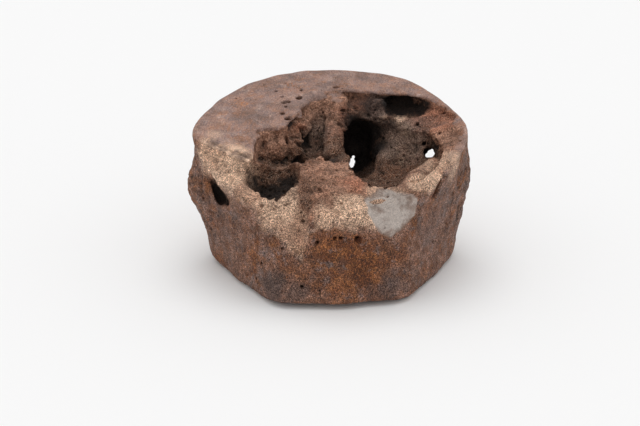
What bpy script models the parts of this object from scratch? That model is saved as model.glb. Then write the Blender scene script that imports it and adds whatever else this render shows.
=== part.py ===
"""Tail vertebra of a large whale, worn and hollowed, standing on its hind end.

Metres, +Z up. The origin is on the floor under the middle of the bone. -Y is the belly side, with
the blood-vessel groove between two worn processes, +Y is the back side, with the stumps of the
neural arch, and X runs across, towards the stumps of the side processes. The upper end face slopes
down to the belly side. Its thin end plate is left over the back half only, and the spongy bone
below has weathered out into open hollows.
"""

import math
from typing import NamedTuple

import bmesh
import bpy
from mathutils import Euler, Matrix, Vector, noise


class Swell(NamedTuple):
    """A smooth rise round an angle in degrees from -Y towards +X, on both sides or on one."""

    rise: float
    middle: float
    width: float
    both: bool = True

    def at(self, angle):
        """How much it adds at an angle."""
        middles = (self.middle, -self.middle) if self.both else (self.middle,)
        away = [(angle - middle + 180) % 360 - 180 for middle in middles]
        return self.rise * sum(math.exp(-((a / self.width) ** 2)) for a in away)


# ---- Driving dimensions ---------------------------------------------------------------------

BASE_RADIUS = 0.176  # of the hind (lower) end
RIM_RADIUS = 0.193  # of the front (upper) end
RIM_LEAN = 0.002  # how far the upper end leans towards +X
BASE_LEAN = 0.005  # and the lower end
FACE_HEIGHT = 0.2055  # of the upper face over the origin
FACE_SLOPE = 0.22  # rise of that face for each metre towards +Y
FACE_DISH = 0.003  # how far its middle lies below its rim
WAIST = 0.011  # how far the side wall draws in between the two ends
BASE_ROUND = 0.010  # how far the lower edge is rounded in
LIFT_HEIGHT = 0.008  # height of the hollow under the belly's lower edge
PLATE = 0.008  # thickness of the end plate
NOTCH = 0.003  # how far the side wall's edge lies below the face
WEAR_REACH = 0.030  # how quickly the worn belly edge climbs back to the face
SAG = 0.040  # depth of the open spongy bone below the lost part of the plate
SAG_Y = -0.005  # where it is deepest
SAG_FRONT = 0.045  # how far the sag reaches towards the belly
SAG_BACK = 0.100  # and towards the back, where it ends in a steep wall
SAG_SIDE = 0.150
OUTSIDE = 0.215  # a radius outside the whole bone

BASE_SWELLS = (
    Swell(0.010, 0, 14, both=False),  # middle of the belly
    Swell(0.016, -8, 36, both=False),  # whole belly side
    Swell(0.018, 27, 12),  # lower pair of belly processes
    Swell(0.016, 92, 18),  # side processes
    Swell(-0.004, -78, 18, both=False),  # drawn in on the left
    Swell(0.010, 135, 26),  # back quarters
    Swell(0.012, 166, 9),  # neural arch
)
RIM_SWELLS = (
    Swell(-0.010, 0, 12, both=False),  # blood-vessel groove
    Swell(0.008, 90, 20),  # side corners
    Swell(0.005, -90, 14, both=False),  # sharper left corner
    Swell(0.010, 138, 22, both=False),  # fuller back right
    Swell(-0.002, -145, 22, both=False),  # flatter back left
)
# Where the waist is deeper, as a share more
WAIST_SWELLS = (
    Swell(1.2, 0, 14, both=False),  # blood-vessel groove
    Swell(0.6, 180, 8, both=False),  # between the arch stumps
)
SIDE_STUMP = Swell(0.023, 92, 13)  # broken side processes
SIDE_STUMP_Z = 0.122
SIDE_STUMP_REACH = 0.040
LEFT_STUMP = Swell(0.009, -86, 18, both=False)  # lower part of the left one
LEFT_STUMP_Z = 0.088
LEFT_STUMP_REACH = 0.046
RIGHT_STUMP = Swell(0.006, 84, 14, both=False)  # upper part of the right one
RIGHT_STUMP_Z = 0.160
RIGHT_STUMP_REACH = 0.028
ARCH_STUMP = Swell(0.024, 167, 6)  # broken neural arch
ARCH_STUMP_Z = 0.125
ARCH_STUMP_REACH = 0.060
LEDGE = Swell(0.010, 84, 16, both=False)  # rough ledge low on the right
LEDGE_Z = 0.070
LEDGE_REACH = 0.030
LIFT = Swell(0.034, -2, 24, both=False)  # how far in that hollow reaches

# Unevenness of old bone: size of its lumps, depth
WALL_ROUGH = (0.045, 0.0022)
FACE_ROUGH = (0.06, 0.0015)
WORN_ROUGH = (0.03, 0.004)

# Worn upper edge round the belly side: degrees from -Y towards +X, height
WORN_EDGE = (
    (-96, 0.205),
    (-82, 0.184),
    (-72, 0.163),
    (-62, 0.152),
    (-46, 0.146),
    (-37, 0.118),
    (-29, 0.097),
    (-18, 0.074),
    (-13, 0.122),
    (-9, 0.137),
    (0, 0.130),
    (8, 0.136),
    (15, 0.110),
    (21, 0.100),
    (27, 0.108),
    (34, 0.146),
    (44, 0.162),
    (56, 0.174),
    (68, 0.190),
    (86, 0.200),
    (100, 0.212),
)

# Broken edge of the end plate, from the left corner over the back to the right corner
PLATE_EDGE = (
    (-0.203, -0.009),
    (-0.191, -0.030),
    (-0.169, -0.048),
    (-0.141, -0.074),
    (-0.120, -0.099),
    (-0.115, -0.061),
    (-0.110, -0.025),
    (-0.101, -0.002),
    (-0.074, 0.006),
    (-0.050, 0.041),
    (-0.036, 0.065),
    (-0.021, 0.101),
    (0.000, 0.116),
    (0.034, 0.122),
    (0.065, 0.114),
    (0.096, 0.109),
    (0.127, 0.104),
    (0.156, 0.090),
    (0.182, 0.056),
    (0.204, 0.011),
)
FAN_CENTRE = (-0.05, -0.25)  # a point in front from which that whole edge is in sight
FAN_LEFT = -42  # degrees, first and last line of sight
FAN_RIGHT = 66
FAN_START = 0.02

# Linear colour of the brown, mineral-stained bone
BONE_COLOUR = (0.20, 0.105, 0.068)
BONE_ROUGHNESS = 0.75

# ---- Mesh density ---------------------------------------------------------------------------

AROUND = 112
WALL_RINGS = 13
RING_CROWD = 1.15  # crowds the wall's levels towards its foot
RIM_BAND = 0.985  # innermost share of the face that belongs to its edge
FACE_RINGS = 5
BASE_RINGS = 2
FAN_LINES = 84
FAN_STEPS = 15
ABOVE = 0.30  # top of the cutter that opens the upper face
LUMPS = 0.10  # unevenness of the hollows, as a share of their size
ANGLES = [360 * i / AROUND - 180 for i in range(AROUND)]


def swells(group, angle):
    return sum(swell.at(angle) for swell in group)


def between(value, points):
    """Value at an angle from a list of (angle, value), eased from point to point."""
    for (a, low), (b, high) in zip(points, points[1:]):
        if a <= value <= b:
            share = (value - a) / (b - a)
            return low + (high - low) * share * share * (3 - 2 * share)
    return None


def base_outline(angle):
    """Radius of the lower end."""
    return BASE_RADIUS + BASE_LEAN * math.sin(math.radians(angle)) + swells(BASE_SWELLS, angle)


def rim_outline(angle):
    """Radius of the upper end."""
    return RIM_RADIUS + RIM_LEAN * math.sin(math.radians(angle)) + swells(RIM_SWELLS, angle)


def wall_radius(angle, height):
    """Radius of the side wall at an angle and a height."""
    full = FACE_HEIGHT - FACE_SLOPE * RIM_RADIUS * math.cos(math.radians(angle))
    share = min(1.0, height / full)
    straight = base_outline(angle) * (1 - share) + rim_outline(angle) * share
    waist = WAIST * (1 + swells(WAIST_SWELLS, angle)) * 4 * share * (1 - share)
    stump = SIDE_STUMP.at(angle) * math.exp(-(((height - SIDE_STUMP_Z) / SIDE_STUMP_REACH) ** 2))
    left = LEFT_STUMP.at(angle) * math.exp(-(((height - LEFT_STUMP_Z) / LEFT_STUMP_REACH) ** 2))
    right = RIGHT_STUMP.at(angle) * math.exp(-(((height - RIGHT_STUMP_Z) / RIGHT_STUMP_REACH) ** 2))
    arch = ARCH_STUMP.at(angle) * math.exp(-(((height - ARCH_STUMP_Z) / ARCH_STUMP_REACH) ** 4))
    ledge = LEDGE.at(angle) * math.exp(-(((height - LEDGE_Z) / LEDGE_REACH) ** 2))
    tuck = BASE_ROUND * max(0.0, 1 - height / (2.2 * BASE_ROUND)) ** 2
    tuck += LIFT.at(angle) * max(0.0, 1 - height / LIFT_HEIGHT)
    return straight - waist + stump + left + right + arch + ledge - tuck


def face_height(x, y):
    """Height of the whole upper end face: a slope with a shallow dish."""
    r = math.hypot(x, y) / RIM_RADIUS
    return FACE_HEIGHT + FACE_SLOPE * y - FACE_DISH * (1 - min(r, 1.0) ** 2)


def worn_height(x, y):
    """Height of the bone where the plate is lost: an open sag that falls to the worn edge."""
    angle = math.degrees(math.atan2(x, -y))
    lengthwise = ((SAG_Y - y) / SAG_FRONT) ** 3 if y < SAG_Y else ((y - SAG_Y) / SAG_BACK) ** 6
    sag = SAG * math.exp(-lengthwise - (x / SAG_SIDE) ** 4)
    inner = face_height(x, y) - PLATE - sag
    edge = between(angle, WORN_EDGE)
    if edge is None:
        return inner
    inside = wall_radius(angle, edge) - math.hypot(x, y)
    return inner - (inner - edge) * min(1.25, math.exp(-inside / WEAR_REACH))


def rough(point, kind):
    """A slow, repeatable unevenness of the surface."""
    size, depth = kind
    return depth * noise.noise(point / size)


def new_object(name, mesh, colour, roughness):
    """An object with its own plain material."""
    obj = bpy.data.objects.new(name, mesh)
    bpy.context.scene.collection.objects.link(obj)
    material = bpy.data.materials.new(name)
    material.use_nodes = True
    shader = material.node_tree.nodes["Principled BSDF"]
    shader.inputs["Base Color"].default_value = (*colour, 1)
    shader.inputs["Roughness"].default_value = roughness
    shader.inputs["Metallic"].default_value = 0
    mesh.materials.append(material)
    return obj


def at(angle, r, z, centre=(0, 0)):
    """The point at an angle and a distance from a centre."""
    a = math.radians(angle)
    return Vector((centre[0] + r * math.sin(a), centre[1] - r * math.cos(a), z))


def rim_height(angle):
    """Height of the side wall's upper edge before wear."""
    edge = at(angle, rim_outline(angle), 0)
    return face_height(edge.x, edge.y) - NOTCH


def base_ring(share):
    return [at(a, share * wall_radius(a, 0), 0) for a in ANGLES]


def wall_ring(share):
    """One level of the side wall, a little uneven like old bone."""
    row = []
    for angle in ANGLES:
        z = share * rim_height(angle)
        r = wall_radius(angle, z)
        point = at(angle, r, z)
        row.append(at(angle, r + rough(point, WALL_ROUGH), z))
    return row


def face_ring(rim, share):
    row = []
    for point in rim:
        x, y, z = point * share
        row.append(Vector((x, y, face_height(x, y) + rough(Vector((x, y, z)), FACE_ROUGH))))
    return row


def centrum_mesh():
    """The whole unworn outer form as one closed skin: base, side wall and upper face."""
    bm = bmesh.new()
    rings = [base_ring(k / BASE_RINGS) for k in range(1, BASE_RINGS + 1)]
    rings += [wall_ring((k / WALL_RINGS) ** RING_CROWD) for k in range(1, WALL_RINGS + 1)]
    rim = rings[-1]
    shares = [RIM_BAND] + [1 - k / FACE_RINGS for k in range(1, FACE_RINGS)]
    rings += [face_ring(rim, share) for share in shares]
    skin(bm, rings, Vector((0, 0, 0)), Vector((0, 0, face_height(0, 0))))
    return finish(bm, "vertebra")


def skin(bm, rings, bottom, top):
    """Close a stack of rings with a fan at either end."""
    made = [[bm.verts.new(p) for p in ring] for ring in rings]
    first = bm.verts.new(bottom)
    last = bm.verts.new(top)
    count = len(made[0])
    for i in range(count):
        j = (i + 1) % count
        bm.faces.new((first, made[0][j], made[0][i]))
        bm.faces.new((last, made[-1][i], made[-1][j]))
        for lower, upper in zip(made, made[1:]):
            bm.faces.new((lower[i], lower[j], upper[j], upper[i]))


def finish(bm, name):
    """A mesh with its faces turned outwards."""
    bmesh.ops.recalc_face_normals(bm, faces=bm.faces)
    mesh = bpy.data.meshes.new(name)
    bm.to_mesh(mesh)
    bm.free()
    return mesh


def sight(point):
    """Angle and distance of a point as seen from the fan centre."""
    dx = point[0] - FAN_CENTRE[0]
    dy = point[1] - FAN_CENTRE[1]
    return math.degrees(math.atan2(dx, dy)), math.hypot(dx, dy)


def fan_reach(angle):
    """Distance from the fan centre to the plate's edge, or past the bone where none is left."""
    seen = [sight(point) for point in PLATE_EDGE]
    for (a, near), (b, far) in zip(seen, seen[1:]):
        if a <= angle <= b:
            return near + (far - near) * (angle - a) / (b - a)
    ahead = at(180 - angle, 1, 0)
    along = -(ahead.x * FAN_CENTRE[0] + ahead.y * FAN_CENTRE[1])
    across = math.hypot(*FAN_CENTRE) ** 2 - along**2
    return along + math.sqrt(max(0.0, OUTSIDE**2 - across))


def fan_line(angle):
    """Points of the worn surface along one line of sight."""
    reach = fan_reach(angle)
    line = []
    for step in range(FAN_STEPS + 1):
        away = FAN_START + (reach - FAN_START) * step / FAN_STEPS
        flat = at(180 - angle, away, 0, FAN_CENTRE)
        flat.z = worn_height(flat.x, flat.y) + rough(flat, WORN_ROUGH)
        line.append(flat)
    return line


def wear_cutter():
    """All that is lost over the open middle and the belly edge, as one closed cutter."""
    bm = bmesh.new()
    span = FAN_RIGHT - FAN_LEFT
    lines = [fan_line(FAN_LEFT + span * i / FAN_LINES) for i in range(FAN_LINES + 1)]
    low = [[bm.verts.new(p) for p in line] for line in lines]
    high = [[bm.verts.new((p.x, p.y, ABOVE)) for p in line] for line in lines]
    for i in range(FAN_LINES):
        for k in range(FAN_STEPS):
            for grid in (low, high):
                bm.faces.new((grid[i][k], grid[i + 1][k], grid[i + 1][k + 1], grid[i][k + 1]))
    border = [(i, 0) for i in range(FAN_LINES)]
    border += [(FAN_LINES, k) for k in range(FAN_STEPS)]
    border += [(i, FAN_STEPS) for i in range(FAN_LINES, 0, -1)]
    border += [(0, k) for k in range(FAN_STEPS, 0, -1)]
    for (i, k), (j, m) in zip(border, border[1:] + border[:1]):
        bm.faces.new((low[i][k], low[j][m], high[j][m], high[i][k]))
    return cutter("wear", finish(bm, "wear"))


def cutter(name, mesh):
    """An object that only serves to cut."""
    obj = bpy.data.objects.new(name, mesh)
    bpy.context.scene.collection.objects.link(obj)
    obj.hide_render = True
    obj.display_type = "WIRE"
    return obj


def hollow(name, centre, radii, turn, detail):
    """A lumpy egg that a Boolean cuts out of the bone. Turn is in degrees."""
    bm = bmesh.new()
    bmesh.ops.create_icosphere(bm, subdivisions=detail, radius=1)
    shift = Vector(centre) * 31
    for v in bm.verts:
        v.co *= 1 + LUMPS * noise.noise(v.co * 1.9 + shift)
    turned = Euler([math.radians(t) for t in turn]).to_matrix().to_4x4()
    bm.transform(Matrix.Translation(centre) @ turned @ Matrix.Diagonal((*radii, 1)))
    return cutter(name, finish(bm, name))


def cut(body, tool):
    modifier = body.modifiers.new(tool.name, "BOOLEAN")
    modifier.operation = "DIFFERENCE"
    modifier.solver = "EXACT"
    modifier.object = tool


# Hollows: name, centre, half sizes, turn in degrees, fineness
HOLLOWS = (
    ("left_bowl", (-0.088, -0.088, 0.160), (0.042, 0.044, 0.040), (0, 0, -10), 3),
    ("left_alcove", (-0.080, -0.030, 0.186), (0.025, 0.036, 0.032), (10, 0, 0), 2),
    ("middle_channel", (-0.020, 0.036, 0.164), (0.019, 0.084, 0.026), (27, 0, 4), 2),
    ("dark_gap", (-0.030, 0.006, 0.140), (0.030, 0.038, 0.030), (0, 0, 0), 2),
    ("right_bowl", (0.089, -0.038, 0.166), (0.071, 0.102, 0.064), (0, 0, -12), 3),
    ("roof_pocket", (0.122, 0.100, 0.2070), (0.036, 0.038, 0.0125), (12.4, 0, -20), 2),
    ("back_void", (0.051, 0.070, 0.143), (0.027, 0.078, 0.043), (-6, 0, -3), 3),
    ("back_foramen", (0.050, 0.160, 0.105), (0.009, 0.050, 0.016), (-18, 0, -6), 2),
    ("side_foramen", (0.158, 0.048, 0.146), (0.010, 0.080, 0.009), (-17.7, 0, -10.7), 2),
    ("left_slit", (-0.169, -0.066, 0.128), (0.017, 0.0075, 0.021), (-51, 0, 38), 2),
    ("right_slit", (0.146, -0.124, 0.157), (0.014, 0.0055, 0.016), (-38, 0, -53), 2),
)


def clear_scene():
    for obj in list(bpy.data.objects):
        bpy.data.objects.remove(obj)


def main():
    clear_scene()
    bone = new_object("vertebra", centrum_mesh(), BONE_COLOUR, BONE_ROUGHNESS)
    bone.data.shade_smooth()
    cut(bone, wear_cutter())
    for settings in HOLLOWS:
        cut(bone, hollow(*settings))


main()
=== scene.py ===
"""Skin, light and camera for a worn whale tail vertebra that stands on its hind end.

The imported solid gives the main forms. Here it is read into a block of cells, its broken edges are
made ragged, the open spongy bone is hollowed and pitted, and the side wall gets its grain, ridges
and small vessel holes. The skin drawn round those cells replaces the solid. Metres, +Z up, -Y the
belly side, +Y the back side.
"""

import logging
import math
from dataclasses import dataclass, field
from enum import Enum
from typing import Iterator, Sequence

import bpy
import numpy as np
from mathutils import Euler, Matrix, Vector
from mathutils.bvhtree import BVHTree


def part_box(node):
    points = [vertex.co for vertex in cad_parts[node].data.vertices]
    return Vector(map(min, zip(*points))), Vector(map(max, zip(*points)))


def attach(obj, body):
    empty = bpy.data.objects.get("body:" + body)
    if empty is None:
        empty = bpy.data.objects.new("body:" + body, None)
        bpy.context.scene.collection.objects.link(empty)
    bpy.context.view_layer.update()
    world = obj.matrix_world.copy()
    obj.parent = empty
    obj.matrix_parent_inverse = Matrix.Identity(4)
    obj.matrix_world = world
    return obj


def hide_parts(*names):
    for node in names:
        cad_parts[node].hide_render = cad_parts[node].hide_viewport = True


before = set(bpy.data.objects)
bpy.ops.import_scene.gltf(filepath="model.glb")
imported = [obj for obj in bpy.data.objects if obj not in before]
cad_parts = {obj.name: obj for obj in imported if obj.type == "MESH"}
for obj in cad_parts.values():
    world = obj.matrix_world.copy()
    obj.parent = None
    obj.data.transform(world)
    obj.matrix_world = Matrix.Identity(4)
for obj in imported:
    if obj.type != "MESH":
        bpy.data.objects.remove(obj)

LOG = logging.getLogger("vertebra")

Triple = tuple[float, float, float]
Colour = tuple[float, float, float, float]
Span = tuple[float, float]

NODE = "vertebra"
BODY = "root"
MM = 0.001
FULL_STEP = 0.0013  # width of a cell in metres


def smooth_step(low: float, high: float, value: np.ndarray) -> np.ndarray:
    """Rises from 0 at low to 1 at high, with soft ends.

    Args:
        low: Value where the rise begins.
        high: Value where it ends.
        value: Numbers to map.

    Returns:
        Numbers between 0 and 1.
    """
    share = np.clip((value - low) / (high - low), 0.0, 1.0)
    return share * share * (3.0 - 2.0 * share)


class Lattice:
    """Smooth repeatable noise between -1 and 1, from a repeating block of random values."""

    SIZE = 32
    SHIFT = 0.37  # metres between the places at which two layers are read

    def __init__(self, seed: int) -> None:
        """Fills the block.

        Args:
            seed: Seed of the random values.
        """
        values = np.random.default_rng(seed).uniform(-1.0, 1.0, (self.SIZE,) * 3)
        self.values = values.astype(np.float32)

    def at(self, points: np.ndarray, size: float | Triple) -> np.ndarray:
        """Noise at some points.

        Args:
            points: Places, one row each, in metres.
            size: Width of a lump in metres, or one for each axis.

        Returns:
            One value for each row.
        """
        scaled = points / np.asarray(size, np.float32)
        cell = np.floor(scaled).astype(np.int32)
        share = (scaled - cell).astype(np.float32)
        share = share * share * (3.0 - 2.0 * share)
        low = cell % self.SIZE
        high = (cell + 1) % self.SIZE
        total = np.zeros(len(points), np.float32)
        for corner in range(8):
            weight = np.ones(len(points), np.float32)
            index = []
            for axis in range(3):
                upper = corner >> axis & 1
                index.append((high if upper else low)[:, axis])
                weight *= share[:, axis] if upper else 1.0 - share[:, axis]
            total += weight * self.values[index[0], index[1], index[2]]
        return total

    def layers(self, points: np.ndarray, size: float, count: int) -> np.ndarray:
        """Several layers of the noise, each half as wide and half as strong.

        Args:
            points: Places, one row each.
            size: Width of the largest lumps.
            count: Number of layers.

        Returns:
            One value for each row, mostly between -1 and 1.
        """
        total = np.zeros(len(points), np.float32)
        for step in range(count):
            total += self.at(points + self.SHIFT * step, size / 2**step) / 2**step
        return total


@dataclass(frozen=True)
class Swell:
    """A smooth rise of an outline round an angle in degrees from -Y towards +X."""

    rise: float
    middle: float
    width: float
    both: bool = True

    def at(self, angle: np.ndarray) -> np.ndarray:
        """How much it adds to an outline.

        Args:
            angle: Degrees from -Y towards +X.

        Returns:
            The rise at each angle.
        """
        middles = (self.middle, -self.middle) if self.both else (self.middle,)
        total = np.zeros_like(angle)
        for middle in middles:
            away = (angle - middle + 180.0) % 360.0 - 180.0
            total += self.rise * np.exp(-((away / self.width) ** 2))
        return total


@dataclass(frozen=True)
class Bulge:
    """A swell of the side wall that fades above and below one height."""

    swell: Swell
    height: float
    reach: float
    power: int = 2

    def at(self, angle: np.ndarray, height: np.ndarray) -> np.ndarray:
        """How far the wall stands out at each angle and height."""
        fade = np.exp(-(((height - self.height) / self.reach) ** self.power))
        return self.swell.at(angle) * fade


@dataclass(frozen=True)
class Drum:
    """The bone's whole outer form before wear, as the solid has it."""

    base_radius: float = 0.176
    base_lean: float = 0.005
    rim_radius: float = 0.193
    rim_lean: float = 0.002
    face_height: float = 0.2055
    face_slope: float = 0.22
    face_dish: float = 0.003
    waist: float = 0.011
    base_round: float = 0.010
    lift: Swell = Swell(0.034, -2, 24, False)
    lift_height: float = 0.008
    base_swells: tuple[Swell, ...] = (
        Swell(0.010, 0, 14, False),
        Swell(0.016, -8, 36, False),
        Swell(0.018, 27, 12),
        Swell(0.016, 92, 18),
        Swell(-0.004, -78, 18, False),
        Swell(0.010, 135, 26),
        Swell(0.012, 166, 9),
    )
    rim_swells: tuple[Swell, ...] = (
        Swell(-0.010, 0, 12, False),
        Swell(0.008, 90, 20),
        Swell(0.005, -90, 14, False),
        Swell(0.010, 138, 22, False),
        Swell(-0.002, -145, 22, False),
    )
    waist_swells: tuple[Swell, ...] = (Swell(1.2, 0, 14, False), Swell(0.6, 180, 8, False))
    bulges: tuple[Bulge, ...] = (
        Bulge(Swell(0.023, 92, 13), 0.122, 0.040),
        Bulge(Swell(0.009, -86, 18, False), 0.088, 0.046),
        Bulge(Swell(0.006, 84, 14, False), 0.160, 0.028),
        Bulge(Swell(0.024, 167, 6), 0.125, 0.060, 4),
        Bulge(Swell(0.010, 84, 16, False), 0.070, 0.030),
    )

    def face(self, points: np.ndarray) -> np.ndarray:
        """Height of the unworn upper face.

        Args:
            points: Places, one row each.

        Returns:
            The face's height over each point.
        """
        flat = np.hypot(points[:, 0], points[:, 1]) / self.rim_radius
        dish = self.face_dish * (1.0 - np.minimum(flat, 1.0) ** 2)
        return self.face_height + self.face_slope * points[:, 1] - dish

    def wall(self, angle: np.ndarray, height: np.ndarray) -> np.ndarray:
        """Radius of the unworn side wall.

        Args:
            angle: Degrees from -Y towards +X.
            height: Heights over the floor.

        Returns:
            One radius for each pair.
        """
        turn = np.radians(angle)
        full = self.face_height - self.face_slope * self.rim_radius * np.cos(turn)
        share = np.clip(height / full, 0.0, 1.0)
        base = self.base_radius + self.base_lean * np.sin(turn)
        rim = self.rim_radius + self.rim_lean * np.sin(turn)
        base = base + sum(swell.at(angle) for swell in self.base_swells)
        rim = rim + sum(swell.at(angle) for swell in self.rim_swells)
        waist = self.waist * (1.0 + sum(swell.at(angle) for swell in self.waist_swells))
        tuck = self.base_round * np.clip(1.0 - height / (2.2 * self.base_round), 0.0, 1.0) ** 2
        tuck += self.lift.at(angle) * np.clip(1.0 - height / self.lift_height, 0.0, 1.0)
        radius = base * (1.0 - share) + rim * share - waist * 4.0 * share * (1.0 - share)
        return radius + sum(bulge.at(angle, height) for bulge in self.bulges) - tuck


def angle_of(points: np.ndarray) -> np.ndarray:
    """Degrees round the bone from -Y towards +X."""
    return np.degrees(np.arctan2(points[:, 0], -points[:, 1]))


# Depth under the face, depth behind the wall and height over the floor at which they end
PLATE_EDGE: Span = (3.6 * MM, 6.0 * MM)
WALL_EDGE: Span = (3.0 * MM, 6.5 * MM)
FOOT_EDGE: Span = (4.0 * MM, 9.0 * MM)


@dataclass
class Zones:
    """Where some points lie on the bone, each as a value from 0 to 1."""

    plate: np.ndarray
    wall: np.ndarray
    broken: np.ndarray
    inward: np.ndarray
    angle: np.ndarray


def zones_of(drum: Drum, points: np.ndarray) -> Zones:
    """Sorts points into end plate, side wall and broken bone.

    Args:
        drum: The unworn outer form.
        points: Places, one row each.

    Returns:
        The share of each zone, the depth under the unworn form and the angle.
    """
    angle = angle_of(points)
    under = drum.face(points) - points[:, 2]
    behind = drum.wall(angle, points[:, 2]) - np.hypot(points[:, 0], points[:, 1])
    plate = 1.0 - smooth_step(*PLATE_EDGE, under)
    wall = 1.0 - smooth_step(*WALL_EDGE, behind)
    wall = np.maximum(wall, 1.0 - smooth_step(*FOOT_EDGE, points[:, 2]))
    inward = np.minimum(under, behind)
    return Zones(plate, wall, (1.0 - plate) * (1.0 - wall), inward, angle)


@dataclass(frozen=True)
class Egg:
    """A lumpy egg that is carved from the bone or built onto it."""

    centre: Triple
    radii: Triple
    turn: Triple = (0.0, 0.0, 0.0)
    lumps: float = 0.12
    lump_size: float = 0.014

    def reach(self) -> float:
        """Distance from the centre that holds all of it."""
        return max(self.radii) * (1.0 + 2.0 * self.lumps) + 3.0 * MM

    def distance(self, points: np.ndarray, noise: Lattice) -> np.ndarray:
        """Rough distance from its surface, negative inside.

        Args:
            points: Places, one row each.
            noise: Noise for the lumps.

        Returns:
            One distance for each row.
        """
        turned = Euler([math.radians(t) for t in self.turn]).to_matrix()
        local = (points - np.asarray(self.centre)) @ np.array(turned)
        radii = np.asarray(self.radii)
        far = np.sqrt(((local / radii) ** 2).sum(1)) + 1e-6
        slope = np.sqrt(((local / radii**2) ** 2).sum(1)) + 1e-6
        size = min(self.radii)
        lumps = noise.layers(points, self.lump_size, 2) * self.lumps * size
        return (far - 1.0) * far / slope + lumps


@dataclass(frozen=True)
class Tube:
    """A round or tapering passage or rib between two points."""

    start: Triple
    end: Triple
    start_radius: float
    end_radius: float
    lumps: float = 0.15
    lump_size: float = 0.008

    @property
    def centre(self) -> Triple:
        """The middle of the run."""
        a, b = np.asarray(self.start), np.asarray(self.end)
        return tuple((a + b) / 2)

    def reach(self) -> float:
        """Distance from the middle that holds all of it."""
        half = math.dist(self.start, self.end) / 2
        return half + max(self.start_radius, self.end_radius) * 1.4 + 3.0 * MM

    def distance(self, points: np.ndarray, noise: Lattice) -> np.ndarray:
        """Distance from its surface, negative inside.

        Args:
            points: Places, one row each.
            noise: Noise for the unevenness.

        Returns:
            One distance for each row.
        """
        start = np.asarray(self.start)
        along = np.asarray(self.end) - start
        share = np.clip(((points - start) @ along) / max(along @ along, 1e-9), 0.0, 1.0)
        off = points - start - share[:, None] * along
        radius = self.start_radius + (self.end_radius - self.start_radius) * share
        lumps = noise.at(points, self.lump_size) * self.lumps * radius
        return np.sqrt((off**2).sum(1)) - radius + lumps


Shape = Egg | Tube
Form = tuple[Shape, float]

TENTHS = 10000  # tenths of a millimetre in a metre


def metres(tenths: Sequence[int]) -> tuple[float, ...]:
    """Whole tenths of a millimetre as metres."""
    return tuple(value / TENTHS for value in tenths)


def egg(
    centre: Sequence[int],
    radii: Sequence[int],
    turn: tuple[float, float],
    lumps: float,
    size: int,
    blend: int = 10,
) -> Form:
    """An egg and its blend, with lengths in tenths of a millimetre.

    Args:
        centre: Its middle.
        radii: Its three radii.
        turn: Degrees about X and about Z.
        lumps: Depth of its unevenness, as a share of its smallest radius.
        size: Width of a lump.
        blend: How far it runs into the bone.

    Returns:
        The shape and its blend in metres.
    """
    shape = Egg(metres(centre), metres(radii), (turn[0], 0, turn[1]), lumps, size / TENTHS)
    return shape, blend / TENTHS


def tube(
    start: Sequence[int],
    end: Sequence[int],
    first: int,
    last: int,
    lumps: float = 0.15,
    size: int = 80,
    blend: int = 10,
) -> Form:
    """A tube and its blend, with lengths in tenths of a millimetre.

    Args:
        start: Where it begins.
        end: Where it ends.
        first: Radius at its beginning.
        last: Radius at its end.
        lumps: Depth of its unevenness, as a share of its radius.
        size: Width of a lump.
        blend: How far it runs into the bone.

    Returns:
        The shape and its blend in metres.
    """
    radii = metres((first, last))
    shape = Tube(metres(start), metres(end), radii[0], radii[1], lumps, size / TENTHS)
    return shape, blend / TENTHS


ADDED: tuple[Form, ...] = (
    # rib between the middle channel and the right hollow, with its rounded foot
    tube((180, 1020, 2020), (70, 240, 1580), 190, 135, 0.16, 120, 50),
    egg((320, 780, 1860), (80, 160, 120), (-25, 0), 0.3, 90, 40),
    egg((190, 720, 1920), (170, 150, 160), (0, 0), 0.5, 80, 50),
    egg((100, 400, 1700), (140, 120, 130), (0, 0), 0.5, 70, 50),
    # remains of the end plate over the rib
    egg((180, 1100, 2165), (200, 180, 65), (24, 0), 0.15, 140, 30),
    # floor of the left recess and the lumps between it and the channel
    egg((-860, 0, 1690), (220, 180, 170), (0, 0), 0.2, 120, 60),
    egg((-720, -20, 1760), (100, 120, 140), (0, 0), 0.3, 80, 50),
    egg((-440, 580, 1980), (100, 200, 150), (20, 12), 0.45, 70, 60),
    egg((-520, 400, 1840), (110, 180, 140), (15, 20), 0.5, 70, 70),
    egg((-600, 180, 1660), (140, 160, 180), (0, 10), 0.45, 70, 80),
    # peaks on the rear edge of the belly lip
    egg((-190, -560, 1730), (60, 70, 65), (0, 0), 0.3, 60, 30),
    egg((-330, -580, 1700), (80, 80, 55), (0, 0), 0.3, 60, 30),
    # slab that hangs from the plate left of the roofed pocket
    egg((850, 1000, 1990), (170, 120, 210), (-12, 0), 0.25, 90, 50),
    egg((900, 860, 1940), (100, 90, 60), (0, 0), 0.35, 60, 30),
    # bone round the two ways out to the back
    tube((480, 1320, 1270), (520, 1600, 1170), 170, 160, 0.1, 80, 60),
    tube((1480, 580, 1470), (1500, 840, 1400), 140, 120, 0.1, 80, 40),
    # broad rim to the front right of the right hollow
    tube((880, -1320, 1420), (1160, -940, 1480), 150, 160, 0.06, 200, 120),
    tube((1160, -940, 1480), (1460, -500, 1560), 160, 140, 0.06, 200, 120),
    # left side of the channel's head
    tube((-300, 1060, 2120), (-360, 680, 1840), 130, 130, 0.3, 80, 80),
    # grey column at the back of the channel
    tube((-140, 1140, 2120), (-170, 820, 1600), 180, 140, 0.16, 100, 100),
    # crumbly bone below the pocket
    egg((1190, 840, 1890), (180, 140, 60), (0, -20), 0.4, 70, 40),
    egg((1400, 640, 1840), (130, 140, 80), (0, -40), 0.45, 60, 40),
    egg((1530, 400, 1700), (100, 120, 90), (0, -40), 0.45, 60, 40),
)
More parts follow.
